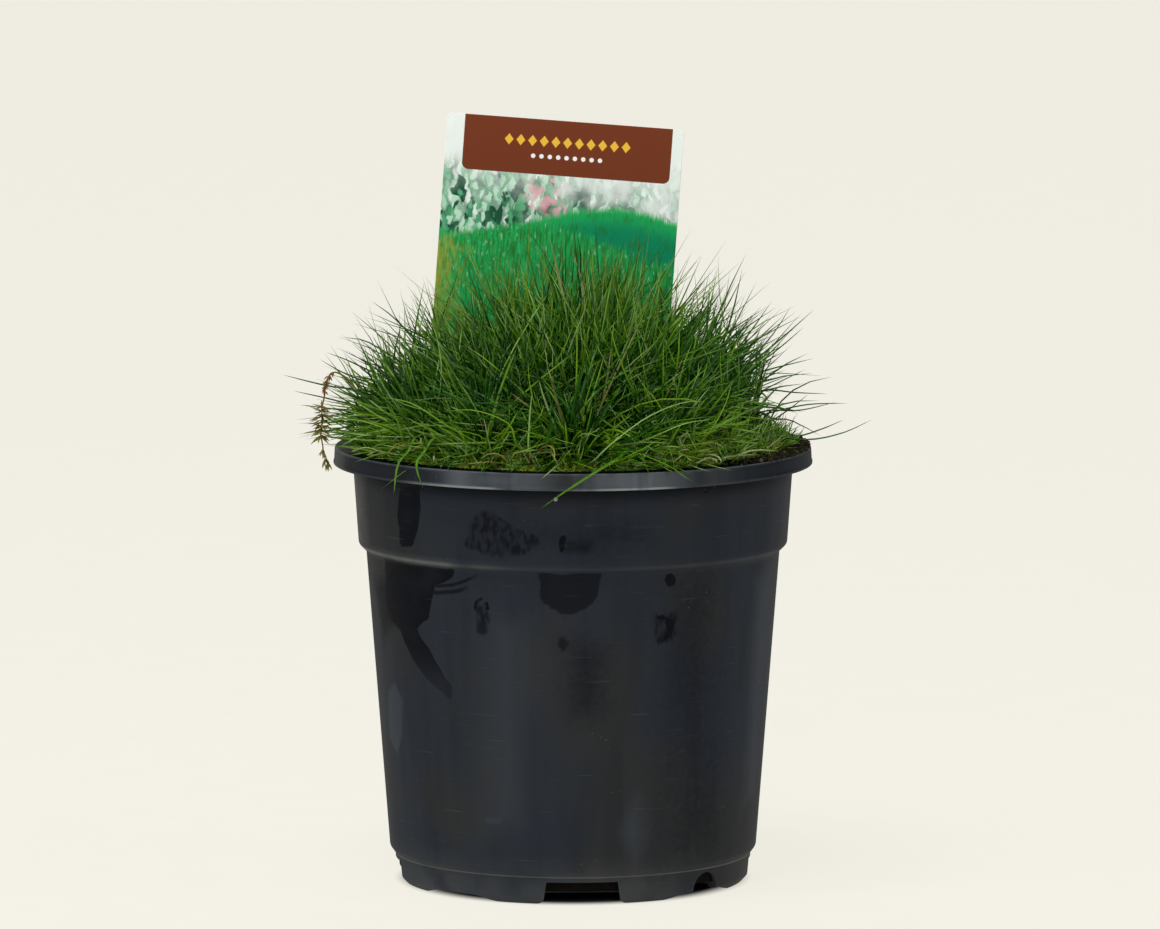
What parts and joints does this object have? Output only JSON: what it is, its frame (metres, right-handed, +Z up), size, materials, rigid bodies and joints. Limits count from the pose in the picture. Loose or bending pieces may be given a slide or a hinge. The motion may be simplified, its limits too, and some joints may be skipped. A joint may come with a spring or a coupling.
{
  "type": "potted bearskin fescue",
  "caption": "Dense tussock of needle-leaved bearskin fescue in a round tapered nursery pot, with a stick-in plant label behind it.",
  "frame": {"origin": "on the ground, under the middle of the plant and its pot", "axes": "+Z up, -Y towards the front, where the label's printed side faces, and +X to the right as seen from the front"},
  "size_m": [0.209, 0.2076, 0.269],
  "materials": {
    "pot": "satin",
    "compost": "matte",
    "leaf": "satin",
    "straw": "matte",
    "shoot": "matte",
    "label": "satin"
  },
  "bodies": {
    "root": {"pot": "pot", "compost": "compost", "tuft_01": "leaf", "tuft_02": "leaf", "tuft_03": "leaf", "tuft_04": "leaf", "tuft_05": "leaf", "tuft_06": "leaf", "tuft_07": "leaf", "tuft_08": "leaf", "tuft_09": "leaf", "tuft_10": "leaf", "tuft_11": "leaf", "tuft_12": "leaf", "tuft_13": "leaf", "tuft_14": "leaf", "tuft_15": "leaf", "tuft_16": "leaf", "tuft_17": "leaf", "tuft_18": "leaf", "tuft_19": "leaf", "tuft_20": "leaf", "tuft_21": "leaf", "tuft_22": "leaf", "tuft_23": "leaf", "tuft_24": "leaf", "tuft_25": "leaf", "tuft_26": "leaf", "tuft_27": "leaf", "tuft_28": "leaf", "tuft_29": "leaf", "straw_1": "straw", "straw_2": "straw", "straw_3": "straw", "straw_4": "straw", "weed_shoot": "shoot", "plant_label": "label"}
  },
  "joints": []
}
